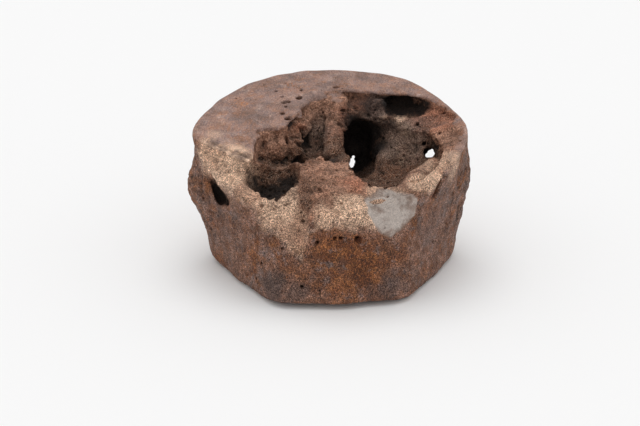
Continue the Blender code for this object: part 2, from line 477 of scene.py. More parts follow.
CARVED: tuple[Form, ...] = (
    # the right hollow reaches up under the slab and the rib
    egg((800, 500, 1700), (400, 400, 245), (6, -8), 0.06, 200, 120),
    egg((580, 760, 1660), (300, 360, 260), (8, 0), 0.08, 200, 120),
    egg((460, 620, 1580), (220, 520, 250), (0, 0), 0.08, 200, 80),
    # black gap under the channel's foot and under the rib's
    egg((-300, 40, 1420), (300, 300, 220), (0, 0), 0.14, 100),
    egg((70, 0, 1370), (180, 240, 130), (0, 0), 0.1, 100),
    # crack between the lumps
    egg((-640, 100, 1840), (35, 100, 120), (0, 0), 0.3, 60),
    # recess under the overhanging plate
    egg((-900, -40, 2000), (200, 120, 60), (16, 0), 0.3, 80),
    # pit in the rib, cracks each side of the slab
    egg((250, 840, 2045), (75, 60, 45), (0, 0), 0.2, 60),
    tube((680, 1140, 2260), (660, 920, 1960), 34, 50, 0.4, 60),
    tube((480, 1060, 2140), (490, 980, 2040), 40, 36, 0.4, 60),
    # roofed pocket
    egg((1220, 1010, 2085), (270, 230, 120), (12, -20), 0.05, 200, 30),
    egg((1400, 880, 2045), (180, 200, 100), (12, -35), 0.05, 200, 30),
    egg((1160, 900, 2030), (200, 180, 90), (12, -20), 0.05, 200, 30),
    # pits in the crumbly bone
    egg((1520, 560, 1800), (75, 70, 80), (0, 0), 0.3, 60),
    egg((1410, 560, 1860), (45, 60, 60), (0, 0), 0.3, 60),
    egg((1510, 380, 1660), (75, 70, 60), (0, 0), 0.3, 60),
    egg((1600, 400, 1760), (40, 60, 60), (0, 0), 0.3, 60),
    # the two ways out to the back, as seen from the front
    tube((460, 1000, 1260), (590, 2150, 880), 24, 30, 0.1),
    tube((440, 1000, 1190), (560, 2150, 810), 44, 52, 0.1),
    tube((420, 1000, 1130), (550, 2150, 750), 50, 60, 0.1),
    tube((1500, 200, 1520), (1720, 1400, 1120), 30, 36, 0.1),
    tube((1540, 200, 1560), (1760, 1400, 1170), 36, 42, 0.1),
    tube((1570, 200, 1590), (1800, 1400, 1210), 22, 26, 0.1),
    # slit in the left of the side wall: a hollow, then the hole that narrows upwards
    tube((-1770, -570, 1500), (-1600, -780, 1260), 70, 120, 0.15, 100, 30),
    tube((-1670, -530, 1480), (-1490, -690, 1240), 70, 110, 0.15, 100, 30),
    tube((-1840, -500, 1470), (-1690, -660, 1250), 80, 110, 0.15, 100, 30),
    tube((-1745, -669, 1480), (-1754, -376, 1377), 26, 22, 0.12, 80, 20),
    tube((-1719, -683, 1423), (-1727, -391, 1320), 42, 36, 0.12, 80, 20),
    tube((-1685, -714, 1366), (-1692, -422, 1261), 60, 51, 0.12, 80, 20),
    tube((-1651, -769, 1316), (-1657, -478, 1211), 78, 66, 0.12, 80, 20),
    tube((-1631, -789, 1270), (-1637, -498, 1163), 88, 75, 0.12, 80, 20),
    tube((-1618, -793, 1233), (-1624, -502, 1126), 72, 61, 0.12, 80, 20),
    # fold between the end plate and the pale ledge on the left
    tube((-1860, -280, 2000), (-1530, -540, 1940), 34, 46, 0.4, 70, 30),
    tube((-1530, -540, 1940), (-1220, -760, 1880), 46, 50, 0.4, 70, 30),
    # slot in the right of the side wall
    tube((1520, -1140, 1600), (1380, -1260, 1380), 50, 70, 0.15, 100),
    tube((1440, -1080, 1580), (1320, -1180, 1400), 40, 60, 0.15, 100),
    # vessel holes of the side wall
    tube((-330, -1780, 920), (-310, -1450, 970), 36, 20),
    tube((-80, -1730, 960), (-70, -1400, 1000), 32, 18),
    tube((10, -1730, 950), (10, -1450, 970), 16, 12),
    tube((240, -1780, 930), (220, -1350, 1010), 58, 32),
    tube((-820, -1740, 830), (-740, -1450, 870), 24, 15),
    tube((-550, -1880, 310), (-530, -1580, 340), 28, 15),
    tube((-300, -1900, 270), (-300, -1600, 280), 18, 12),
    tube((-1120, -1500, 530), (-980, -1300, 550), 22, 15),
    tube((-1340, -1240, 230), (-1180, -1100, 250), 20, 12),
    tube((-1210, -1430, 260), (-1080, -1280, 280), 18, 12),
    tube((-1370, -1210, 1100), (-1200, -1070, 1120), 20, 12),
    tube((-1870, -350, 620), (-1660, -300, 640), 24, 14),
    tube((-1920, -360, 1120), (-1700, -320, 1140), 24, 14),
    tube((1500, -1120, 600), (1300, -980, 620), 22, 14),
    tube((1800, -500, 1400), (1620, -440, 1400), 22, 14),
    # holes in the end plate
    egg((-600, 380, 2080), (58, 60, 100), (0, 0), 0.2, 50),
    egg((-680, 530, 2130), (40, 42, 90), (0, 0), 0.2, 50),
    egg((-610, 870, 2210), (86, 56, 80), (0, 20), 0.3, 60),
    egg((-620, 720, 2180), (22, 24, 60), (0, -15), 0.3, 60),
    egg((-400, 1000, 2230), (58, 60, 80), (0, 10), 0.3, 60),
    egg((-660, 1030, 2260), (30, 18, 80), (0, 0), 0.3, 60),
    egg((-350, 1230, 2310), (24, 26, 80), (0, 0), 0.2, 50),
    egg((-750, 1210, 2310), (36, 22, 80), (0, 0), 0.2, 50),
    egg((210, 1310, 2340), (60, 36, 100), (0, 0), 0.25, 60),
    egg((-1370, 980, 2270), (22, 16, 70), (0, 0), 0.2, 50),
)


class Cells:
    """A block of cells that holds the distance to the bone's surface, negative inside."""

    NUDGE = 1e-5  # metres that keep rays off edges and past the face just hit
    FAINT = 1e-5  # smallest share of a cell that still gives a distance
    LOGISTIC = 1.702  # a logistic curve this steep follows the softening's bell curve
    TAIL = 2.6  # standard deviations that the softening reaches
    BELOW = 0.01  # metres under the block at which rays start

    def __init__(self, low: Triple, high: Triple, step: float) -> None:
        """Lays out the block.

        Args:
            low: Lowest corner.
            high: Highest corner.
            step: Width of a cell.
        """
        self.low = np.asarray(low, np.float32)
        self.step = step
        self.count = tuple(int(math.ceil((b - a) / step)) + 1 for a, b in zip(low, high))
        self.solid = np.zeros(self.count, np.float32)
        self.distance = np.zeros(self.count, np.float32)

    def read(self, tree: BVHTree) -> None:
        """Fills the block with how much of each cell the solid takes.

        Args:
            tree: The solid's faces.
        """
        heights = self.low[2] + self.step * np.arange(self.count[2], dtype=np.float32)
        up = Vector((0, 0, 1))
        for i in range(self.count[0]):
            for j in range(self.count[1]):
                x = float(self.low[0]) + i * self.step + self.NUDGE
                y = float(self.low[1]) + j * self.step + self.NUDGE
                crossed = []
                z = float(self.low[2]) - self.BELOW
                while True:
                    hit = tree.ray_cast(Vector((x, y, z)), up)[0]
                    if hit is None:
                        break
                    crossed.append(hit.z)
                    z = hit.z + self.NUDGE
                for floor, roof in zip(crossed[::2], crossed[1::2]):
                    share = np.clip((roof - heights) / self.step + 0.5, 0.0, 1.0)
                    share -= np.clip((floor - heights) / self.step + 0.5, 0.0, 1.0)
                    self.solid[i, j] += share

    def blurred(self, values: np.ndarray, width: float) -> np.ndarray:
        """A softened copy of some values.

        Args:
            values: One value for each cell.
            width: Standard deviation of the softening in metres.

        Returns:
            The softened values.
        """
        sigma = width / self.step
        reach = max(1, int(math.ceil(self.TAIL * sigma)))
        weights = np.exp(-(np.arange(-reach, reach + 1) ** 2) / (2.0 * sigma * sigma))
        weights /= weights.sum()
        for axis in range(3):
            total = values * weights[reach]
            for step in range(1, reach + 1):
                ahead = [slice(None)] * 3
                back = [slice(None)] * 3
                ahead[axis] = slice(step, None)
                back[axis] = slice(None, -step)
                weight = np.float32(weights[reach + step])
                total[tuple(ahead)] += weight * values[tuple(back)]
                total[tuple(back)] += weight * values[tuple(ahead)]
            values = total
        return values

    def places(self, index: tuple[np.ndarray, ...]) -> np.ndarray:
        """Centres of some cells, one row each."""
        return self.low + self.step * np.stack(index, 1).astype(np.float32)

    def sample(self, values: np.ndarray, points: np.ndarray) -> np.ndarray:
        """Values of the block at free places.

        Args:
            values: One value for each cell.
            points: Places, one row each.

        Returns:
            One value for each row.
        """
        scaled = (points - self.low) / self.step
        top = np.asarray(values.shape) - 2
        cell = np.clip(np.floor(scaled).astype(np.int32), 0, top)
        share = np.clip(scaled - cell, 0.0, 1.0).astype(np.float32)
        total = np.zeros(len(points), np.float32)
        for corner in range(8):
            step = np.array([corner & 1, corner >> 1 & 1, corner >> 2 & 1])
            weight = np.where(step, share, 1.0 - share).prod(1)
            index = cell + step
            total += weight * values[index[:, 0], index[:, 1], index[:, 2]]
        return total

    def window(self, centre: Triple, reach: float) -> tuple[slice, ...]:
        """The cells round a place.

        Args:
            centre: The place.
            reach: Half the window's width.

        Returns:
            A slice for each axis.
        """
        found = []
        for axis in range(3):
            first = math.floor((centre[axis] - reach - self.low[axis]) / self.step)
            last = math.ceil((centre[axis] + reach - self.low[axis]) / self.step) + 1
            found.append(slice(max(0, first), max(0, min(self.count[axis], last))))
        return tuple(found)

    def points_in(self, window: tuple[slice, ...]) -> np.ndarray:
        """Centres of a window's cells.

        Args:
            window: A slice for each axis.

        Returns:
            One row for each cell.
        """
        axes = [np.arange(part.start, part.stop) for part in window]
        index = np.meshgrid(*axes, indexing="ij")
        return self.low + self.step * np.stack([i.ravel() for i in index], 1).astype(np.float32)

    def carve(self, shape: Shape, noise: Lattice, blend: float) -> None:
        """Takes a shape out of the bone.

        Args:
            shape: What is taken out.
            noise: Noise for its unevenness.
            blend: How far its edges are rounded.
        """
        window = self.window(shape.centre, shape.reach() + 2.0 * blend)
        block = self.distance[window]
        depth = -shape.distance(self.points_in(window), noise).reshape(block.shape)
        share = np.clip(0.5 + 0.5 * (depth - block) / blend, 0.0, 1.0)
        block[...] = block * (1.0 - share) + depth * share + blend * share * (1.0 - share)

    def build_up(self, shape: Shape, noise: Lattice, blend: float) -> None:
        """Adds a shape to the bone.

        Args:
            shape: What is added.
            noise: Noise for its unevenness.
            blend: Width of the fillet where it meets the bone.
        """
        window = self.window(shape.centre, shape.reach() + 2.0 * blend)
        block = self.distance[window]
        other = shape.distance(self.points_in(window), noise).reshape(block.shape)
        share = np.clip(0.5 + 0.5 * (block - other) / blend, 0.0, 1.0)
        block[...] = block * (1.0 - share) + other * share - blend * share * (1.0 - share)

    def prick(self, centre: np.ndarray, radius: float) -> None:
        """Takes one small round pore out of the bone.

        Args:
            centre: The pore's middle.
            radius: Its radius.
        """
        window = self.window(tuple(centre), radius + self.step)
        block = self.distance[window]
        if block.size == 0:
            return
        parts = []
        for axis, part in enumerate(window):
            line = self.low[axis] + self.step * np.arange(part.start, part.stop)
            parts.append((line - centre[axis]) ** 2)
        far = parts[0][:, None, None] + parts[1][None, :, None] + parts[2][None, None, :]
        np.maximum(block, radius - np.sqrt(far), out=block)

    def skin(self) -> tuple[np.ndarray, np.ndarray]:
        """Draws the surface between inside and outside.

        Returns:
            Points, one row each, and faces as rows of four point numbers.
        """
        values = self.distance
        inside = values < 0.0
        corners = [(a, b, c) for a in (0, 1) for b in (0, 1) for c in (0, 1)]
        size = tuple(n - 1 for n in values.shape)
        total = np.zeros(size, np.int8)
        for a, b, c in corners:
            total += inside[a : a + size[0], b : b + size[1], c : c + size[2]]
        mixed = (total > 0) & (total < 8)
        cell = np.nonzero(mixed)
        number = np.full(size, -1, np.int32)
        number[cell] = np.arange(len(cell[0]))
        at = {k: values[cell[0] + k[0], cell[1] + k[1], cell[2] + k[2]] for k in corners}
        place = np.zeros((len(cell[0]), 3), np.float32)
        hits = np.zeros(len(cell[0]), np.float32)
        for k in corners:
            for axis in range(3):
                if k[axis]:
                    continue
                other = tuple(1 if i == axis else k[i] for i in range(3))
                a, b = at[k], at[other]
                crossed = (a < 0.0) != (b < 0.0)
                share = np.where(crossed, a / np.where(crossed, a - b, 1.0), 0.0)
                for i in range(3):
                    place[:, i] += np.where(crossed, share if i == axis else k[i], 0.0)
                hits += crossed
        place = self.low + self.step * (np.stack(cell, 1) + place / hits[:, None])
        faces = []
        for axis in range(3):
            first = [slice(1, -1)] * 3
            first[axis] = slice(0, -1)
            second = list(first)
            second[axis] = slice(1, None)
            a = inside[tuple(first)]
            b = inside[tuple(second)]
            edge = np.nonzero(a != b)
            leaving = a[edge]
            index = [edge[i] + (0 if i == axis else 1) for i in range(3)]
            one, two = [i for i in range(3) if i != axis]
            ring = []
            for da, db in ((-1, -1), (0, -1), (0, 0), (-1, 0)):
                at_cell = list(index)
                at_cell[one] = index[one] + da
                at_cell[two] = index[two] + db
                ring.append(number[tuple(at_cell)])
            quad = np.stack(ring, 1)
            flip = leaving if axis == 1 else ~leaving
            quad[flip] = quad[flip][:, ::-1]
            faces.append(quad)
        return place, np.concatenate(faces)


class Tint(Enum):
    """The coats that lie over the plain brown bone, each kept as one value for each point."""

    PLATE = "plate"
    OPEN = "open"
    DEEP = "deep"
    # painted shade: near black where broken bone lies under an overhang, and in the listed hollows,
    # gaps and slits
    DARK = "painted_shade"
    CREAM = "cream"
    CRUST = "crust"
    WARM = "warm"
    STAIN = "stain"
    GREY = "grey"
    RING = "ring"
    # painted shade: how far a point sinks below the softened surface, in pits and creases
    PIT = "pit_shade"


@dataclass(frozen=True)
class Patch:
    """A patch of one coat on the side wall, outlined in degrees round the bone and height."""

    LUMP = 0.010  # width of the largest lumps of its border

    tint: Tint
    outline: tuple[tuple[float, float], ...]
    strength: float = 1.0
    soft: float = 0.006
    ragged: float = 0.004
    reach: float = 0.170

    def at(self, points: np.ndarray, angle: np.ndarray, noise: Lattice) -> np.ndarray:
        """How strongly the patch covers each point.

        Args:
            points: Places, one row each.
            angle: Degrees round the bone of each.
            noise: Noise for the ragged border.

        Returns:
            One value from 0 to strength for each row.
        """
        flat = np.stack([np.radians(angle) * self.reach, points[:, 2]], 1)
        corner = np.array([[math.radians(a) * self.reach, z] for a, z in self.outline])
        nearest = np.full(len(points), 1.0)
        inside = np.zeros(len(points), bool)
        for start, end in zip(corner, np.roll(corner, -1, 0)):
            along = end - start
            share = np.clip((flat - start) @ along / (along @ along), 0.0, 1.0)
            off = flat - start - share[:, None] * along
            nearest = np.minimum(nearest, np.hypot(off[:, 0], off[:, 1]))
            spans = (start[1] > flat[:, 1]) != (end[1] > flat[:, 1])
            rise = along[1] if along[1] else 1e-9
            cross = start[0] + (flat[:, 1] - start[1]) * along[0] / rise
            inside ^= spans & (flat[:, 0] < cross)
        depth = np.where(inside, nearest, -nearest)
        depth += self.ragged * noise.layers(points, self.LUMP, 3)
        return self.strength * smooth_step(-self.soft, self.soft, depth)


@dataclass(frozen=True)
class Spot:
    """A soft round patch of one coat."""

    # in radii of the spot
    END = 1.9  # nothing beyond this
    LUMP = 0.6  # width of the largest lumps of its border
    ROUGH = 0.35  # their depth
    FADE = (0.45, 1.15)

    tint: Tint
    centre: Triple
    radius: float
    strength: float = 1.0

    def at(self, points: np.ndarray, noise: Lattice) -> np.ndarray:
        """How strongly it covers each point.

        Args:
            points: Places, one row each.
            noise: Noise for the uneven border.

        Returns:
            One value from 0 to strength for each row.
        """
        far = np.sqrt(((points - np.asarray(self.centre)) ** 2).sum(1)) / self.radius
        near = np.nonzero(far < self.END)[0]
        far[near] += self.ROUGH * noise.layers(points[near], self.LUMP * self.radius, 3)
        return self.strength * (1.0 - smooth_step(*self.FADE, far))


# Stumps of the side processes and of the arch: degrees from the belly side and half width, then
# height, half height and how sharply they end upwards and downwards
STUMPS = ((88.0, 20.0, 0.115, 0.075, 4), (167.0, 9.0, 0.125, 0.068, 6))

# X, Y, Z and radius in tenths of a millimetre, and strength
SPOTS: tuple[tuple[Tint, tuple[tuple[float, ...], ...]], ...] = (
    (
        Tint.CREAM,
        (
            (-1500, -780, 1680, 440, 1.0), (-1700, -120, 2030, 160, 0.35),
            (-1800, -400, 1800, 280, 0.8), (140, -1650, 1360, 300, 1.0),
            (360, -1640, 1300, 240, 1.0), (-200, -1650, 1280, 220, 0.9),
            (1180, -1260, 1650, 300, 0.9), (880, 860, 1940, 120, 0.6),
            (1180, 820, 1940, 160, 0.7), (1240, 620, 1800, 140, 0.7), (1150, 500, 1350, 65, 0.7),
            (1220, 560, 1600, 380, 0.08), (1500, -840, 1760, 360, 0.6),
            (-800, -1390, 1360, 340, 0.9), (-1200, -1120, 1520, 300, 0.4),
            (600, -1400, 1560, 300, 0.5), (270, -1000, 1570, 180, 0.25),
        ),
    ),
    (
        # painted shade: near black spots in the hollows, gaps, holes and slits
        Tint.DARK,
        (
            (460, 800, 1520, 620, 1.0), (1060, 1080, 2120, 320, 1.0),
            (1240, 1080, 2130, 340, 1.0), (1420, 1000, 2120, 280, 1.0),
            (-280, 80, 1360, 320, 1.0), (80, 40, 1340, 260, 1.0), (-600, 380, 2050, 130, 1.0),
            (-680, 530, 2090, 100, 1.0), (-610, 870, 2170, 140, 1.0),
            (-400, 1000, 2190, 120, 1.0), (-1180, -680, 1420, 190, 0.95),
            (-1040, -640, 1290, 200, 0.95), (-850, -630, 1280, 200, 0.95),
            (-680, -580, 1370, 190, 0.95), (800, 560, 1360, 300, 0.25),
            (580, 1050, 2080, 260, 0.7), (840, 1000, 2120, 200, 0.5),
            (1120, 1240, 2140, 400, 1.0), (1320, 1220, 2150, 400, 1.0),
            (-520, 340, 1720, 200, 0.6), (-1580, -640, 1340, 280, 1.0),
            (-1630, -450, 1220, 340, 1.0),
        ),
    ),
    (
        Tint.WARM,
        (
            (0, -1750, 700, 700, 1.0), (-650, -1780, 550, 300, 0.6), (600, -1780, 700, 380, 0.8),
            (240, -1180, 1600, 260, 0.8), (300, 800, 1900, 300, 0.8), (170, 520, 1700, 300, 0.8),
            (1060, 300, 1200, 340, 0.4), (600, 1060, 2100, 200, 0.8), (1600, 600, 2030, 360, 0.8),
            (-1780, -340, 1980, 120, 0.8), (-1550, -530, 1940, 130, 0.9),
            (-1300, -700, 1880, 150, 0.9), (-460, 460, 1920, 200, 0.7),
            (-420, 1410, 2360, 240, 0.9), (-1270, 780, 2270, 160, 0.9),
            (-1280, -120, 2140, 220, 0.9), (-1500, 400, 2220, 240, 0.5),
            (1700, 240, 2180, 400, 0.7), (400, 1500, 2380, 300, 0.4),
        ),
    ),
    (
        Tint.GREY,
        (
            (-1350, 290, 2220, 200, 0.9), (-1100, 500, 2220, 300, 0.5),
            (600, 1700, 2400, 400, 0.5),
        ),
    ),
    (
        Tint.STAIN,
        (
            (830, 940, 2080, 300, 1.0), (1360, 550, 1900, 220, 0.7), (1550, 550, 1950, 200, 0.6),
            (1660, 300, 1960, 140, 0.6), (1500, 300, 1820, 180, 0.6), (40, 480, 1780, 160, 0.5),
            (240, 700, 1900, 140, 0.4), (-1720, -380, 1970, 90, 0.6),
            (-1570, -510, 1940, 90, 0.7), (-1420, -620, 1910, 100, 0.8),
            (-1280, -730, 1880, 110, 0.8), (-950, -1710, 270, 260, 1.0),
            (-600, -1830, 260, 180, 0.8), (690, -1800, 280, 220, 0.9),
            (440, -1840, 220, 140, 0.6), (0, -1760, 600, 120, 0.5), (640, -1700, 1460, 190, 0.28),
        ),
    ),
    (
        Tint.GREY,
        (
            (-120, 700, 1950, 480, 0.75), (-100, 980, 2180, 260, 1.0),
            (-160, 300, 1700, 260, 1.0), (830, 900, 2050, 260, 1.0), (1220, 560, 1640, 500, 1.0),
            (1350, 500, 1850, 300, 0.8), (1400, -1160, 900, 400, 0.7),
            (-1650, -600, 1000, 400, 0.3), (-470, 700, 2180, 160, 0.8),
            (1850, -200, 600, 400, 0.6),
        ),
    ),
)


def spots_of(runs: Sequence[tuple[Tint, Sequence[Sequence[float]]]]) -> Iterator[Spot]:
    """Makes the spots of a table.

    Args:
        runs: Rows of spots under the coat they share.

    Yields:
        Each spot, in the table's order.
    """
    for tint, rows in runs:
        for *place, radius, strength in rows:
            yield Spot(tint, metres(place), radius / TENTHS, strength)


@dataclass(frozen=True)
class Pores:
    """The open cells of spongy bone in one zone."""

    count: int
    radius: tuple[float, float]
    sink: float
    in_plate: float = 0.0
    in_wall: float = 0.0
    in_broken: float = 1.0


@dataclass(frozen=True)
class Wear:
    """Sizes, depths and spans of the wear, in metres."""

    band: float = 0.0085  # how near the surface the cells are worked on
    inner: Span = (0.004, 0.016)  # behind the wall, where edges begin to wander
    loose: Span = (0.008, 0.014)  # under the face, where heights wander freely
    off_floor: Span = (0.015, 0.04)
    squash: Triple = (1.0, 1.0, 0.4)  # draws the wandering out along the bone
    edge_lump: float = 0.017
    rim_lump: float = 0.015
    wall_lump: float = 0.030
    streak: Triple = (0.0032, 0.0032, 0.020)
    ridge_lump: float = 0.013
    ridge_level: float = 0.35
    ridge_shift: float = 0.4  # keeps the ridges apart from the wall's lumps
    stump_lump: float = 0.006
    plate_lump: float = 0.024
    crumb_lump: float = 0.0055
    wall_depth: float = 0.0010
    streak_depth: float = 0.00035
    ridge_depth: float = 0.0032
    stump_depth: float = 0.0008
    plate_depth: float = 0.0005
    broken_depth: float = 0.0010
    crumb_depth: float = 0.0008  # and as much again where hidden
    hidden: Span = (0.006, 0.020)
    under_lip: Span = (0.0035, 0.0060)  # where the hollow under the plate begins
    under_end: Span = (0.010, 0.018)  # and ends
    under_behind: Span = (0.012, 0.022)


@dataclass(frozen=True)
class Coating:
    """Reaches and spans of the coats, in metres unless they say otherwise."""

    sky_blur: float = 0.007
    near_clip: float = 0.006
    near_blur: float = 0.0026
    # depth below the softened surface at which the painted pit shade is full
    pit_depth: float = 0.0011
    deep: Span = (0.012, 0.045)
    # shaded and roofed set where the painted shade falls: by share of open sky and by depth under
    # the unworn form
    shaded: Span = (0.03, 0.30)  # share of open sky
    roofed: Span = (0.010, 0.022)
    ring_stretch: Span = (7.0, 0.095)  # outwards and round the bone
    ring_lump: float = 0.020
    patch_depth: float = 0.03
    # depth under the unworn form over which the painted shade fades in
    painted_shade: Span = (0.003, 0.009)
    cream_over_painted_shade: float = 0.8  # share of the painted shade that cream takes away


@dataclass
class Vertebra:
    """The worn bone: its cells, its skin and the coats on it."""

    drum: Drum = field(default_factory=Drum)
    step: float = FULL_STEP
    soften: float = 0.0018
    margin: float = 0.009
    edge_warp: float = 0.0034
    rim_warp: float = 0.0022
    undercut: float = 0.0020
    polish: float = 0.45  # softening of the finished form, in cells
    clump: float = 0.022  # width of a cluster of pores
    clump_mean: float = 0.6
    clump_swing: float = 0.8
    pore_floor: float = 0.006  # no pores below this height
    pore_seed: int = 100
    worn: Wear = Wear()
    coating: Coating = Coating()
    added: tuple[Form, ...] = ADDED
    carved: tuple[Form, ...] = CARVED
    fin: tuple[Triple, ...] = (
        (0.104, 0.096, 0.200),
        (0.112, 0.086, 0.194),
        (0.119, 0.078, 0.190),
        (0.123, 0.068, 0.184),
        (0.123, 0.060, 0.175),
    )
    fin_radius: float = 0.0017
    pores: tuple[Pores, ...] = (
        Pores(22000, (0.0009, 0.0016), 0.0004),
        Pores(900, (0.0015, 0.0030), 0.0010),
        Pores(260, (0.0010, 0.0018), 0.0005, 0.3, 1.0, 0.0),
    )
    patches: tuple[Patch, ...] = (
        Patch(
            Tint.CRUST,
            (
                *((13.2, 0.147), (26.4, 0.154), (32.0, 0.152), (35.0, 0.149), (33.6, 0.123)),
                *((27.8, 0.109), (21.4, 0.098), (16.4, 0.107), (12.6, 0.133)),
            ),
            soft=0.0022,
            ragged=0.0012,
        ),
        Patch(
            Tint.CREAM,
            (
                *((-38.0, 0.128), (-25.5, 0.095), (-17.3, 0.068)),
                *((-15.0, 0.095), (-12.6, 0.124), (-26.0, 0.130)),
            ),
            strength=0.4,
            soft=0.0035,
            ragged=0.004,
        ),
    )
    spots: tuple[Spot, ...] = tuple(spots_of(SPOTS))
    noises: dict[str, Lattice] = field(default_factory=dict)

    def noise(self, name: str) -> Lattice:
        """Finds the noise kept under a name, and makes it on first use.

        Args:
            name: Its name, which also gives its seed.

        Returns:
            The noise.
        """
        if name not in self.noises:
            seed = sum((i + 1) * ord(letter) for i, letter in enumerate(name))
            self.noises[name] = Lattice(seed)
        return self.noises[name]

    def fill(self, source: bpy.types.Object) -> Cells:
        """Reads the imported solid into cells.

        Args:
            source: The solid's object.

        Returns:
            Cells with the distance to its softened surface.
        """
        low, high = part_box(source.name)
        room = Vector((self.margin,) * 3)
        cells = Cells(tuple(low - room), tuple(high + room), self.step)
        points = [vertex.co.copy() for vertex in source.data.vertices]
        faces = [tuple(polygon.vertices) for polygon in source.data.polygons]
        cells.read(BVHTree.FromPolygons(points, faces))
        soft = cells.blurred(cells.solid, self.soften)
        soft = np.clip(soft, Cells.FAINT, 1.0 - Cells.FAINT)
        cells.distance = np.log((1.0 - soft) / soft) * np.float32(self.soften / Cells.LOGISTIC)
        return cells

    def band(self, cells: Cells, width: float) -> tuple[tuple[np.ndarray, ...], np.ndarray]:
        """The cells near the surface.

        Args:
            cells: The cells.
            width: Largest distance from the surface.

        Returns:
            The cells' numbers and their centres.
        """
        index = np.nonzero(np.abs(cells.distance) < width)
        return index, cells.places(index)

    def wear(self, cells: Cells) -> None:
        """Makes the broken edges ragged and the wall and hollows uneven.

        Args:
            cells: The cells to change.
        """
        worn = self.worn
        index, points = self.band(cells, worn.band)
        zones = zones_of(self.drum, points)
        under = self.drum.face(points) - points[:, 2]
        behind = self.drum.wall(zones.angle, points[:, 2]) - np.hypot(points[:, 0], points[:, 1])
        inner = smooth_step(*worn.inner, behind)
        loose = smooth_step(*worn.loose, under) * smooth_step(*worn.off_floor, points[:, 2])
        across = self.noise("across")
        along = self.noise("along")
        rise = self.noise("rise")
        flat = points * np.array(worn.squash, np.float32)
        sideways = across.layers(flat, worn.edge_lump, 3) * self.edge_warp * inner
        lengthways = along.layers(flat, worn.edge_lump, 3) * self.edge_warp * inner
        upwards = rise.layers(points, worn.rim_lump, 2) * self.rim_warp * loose
        upwards += self.drum.face_slope * lengthways * (1.0 - loose)
        moved = points + np.stack([sideways, lengthways, upwards], 1)
        distance = cells.sample(cells.distance, moved)
        lumps = self.noise("lumps")
        grain = self.noise("grain")
        stump = self.stump_share(points, zones.angle)
        wall = zones.wall * (1.0 - zones.plate)
        slow = lumps.layers(points, worn.wall_lump, 3)
        streak = grain.at(points, worn.streak)
        ridges = lumps.layers(points + worn.ridge_shift, worn.ridge_lump, 3)
        ridges = np.abs(ridges) - worn.ridge_level
        distance += wall * (worn.wall_depth * slow + worn.streak_depth * streak)
        rough = grain.layers(points, worn.stump_lump, 2)
        distance += wall * stump * (worn.ridge_depth * ridges + worn.stump_depth * rough)
        distance += zones.plate * worn.plate_depth * lumps.layers(points, worn.plate_lump, 2)
        crumb = grain.layers(points, worn.crumb_lump, 2)
        hidden = smooth_step(*worn.hidden, zones.inward)
        depth = worn.crumb_depth + worn.crumb_depth * hidden
        distance += zones.broken * (depth * crumb + worn.broken_depth * slow)
        below = smooth_step(*worn.under_lip, under) * (1.0 - smooth_step(*worn.under_end, under))
        distance += self.undercut * below * smooth_step(*worn.under_behind, behind)
        cells.distance[index] = distance

    def stump_share(self, points: np.ndarray, angle: np.ndarray) -> np.ndarray:
        """How far each point lies on a stump of a broken process.

        Args:
            points: Places, one row each.
            angle: Degrees round the bone of each.

        Returns:
            One value from 0 to 1 for each row.
        """
        total = np.zeros_like(angle)
        for middle, width, height, half, power in STUMPS:
            share = np.exp(-(((np.abs(angle) - middle) / width) ** 4))
            total += share * np.exp(-(((points[:, 2] - height) / half) ** power))
        return np.clip(total, 0.0, 1.0)

    def sculpt(self, cells: Cells) -> None:
        """Adds and carves the named forms.

        Args:
            cells: The cells to change.
        """
        for shape, blend in self.added:
            cells.build_up(shape, self.noise("added"), blend)
        for shape, blend in self.carved:
            cells.carve(shape, self.noise("carved"), blend)
        for start, end in zip(self.fin, self.fin[1:]):
            rib = Tube(start, end, self.fin_radius, self.fin_radius)
            cells.build_up(rib, self.noise("added"), MM)

    def prick(self, cells: Cells) -> None:
        """Opens the pores in the broken bone and a few on the wall.

        Args:
            cells: The cells to change.
        """
        for number, pores in enumerate(self.pores):
            draw = np.random.default_rng(self.pore_seed + number)
            index = np.nonzero(np.abs(cells.distance) < 0.5 * self.step)
            points = cells.places(index)
            zones = zones_of(self.drum, points)
            chance = zones.plate * pores.in_plate + zones.broken * pores.in_broken
            chance = chance + zones.wall * (1.0 - zones.plate) * pores.in_wall
            clump = self.noise("clump").layers(points, self.clump, 2)
            clump = self.clump_mean + self.clump_swing * clump
            chance = np.clip(chance * clump, 0.0, None) * (points[:, 2] > self.pore_floor)
            chance = chance / chance.sum()
            picked = draw.choice(len(points), pores.count, p=chance)
            radii = draw.uniform(0.0, 1.0, pores.count) ** 2
            radii = pores.radius[0] + (pores.radius[1] - pores.radius[0]) * radii
            shift = draw.normal(0.0, pores.sink, (pores.count, 3))
            for place, radius in zip(points[picked] + shift, radii):
                cells.prick(place, float(radius))

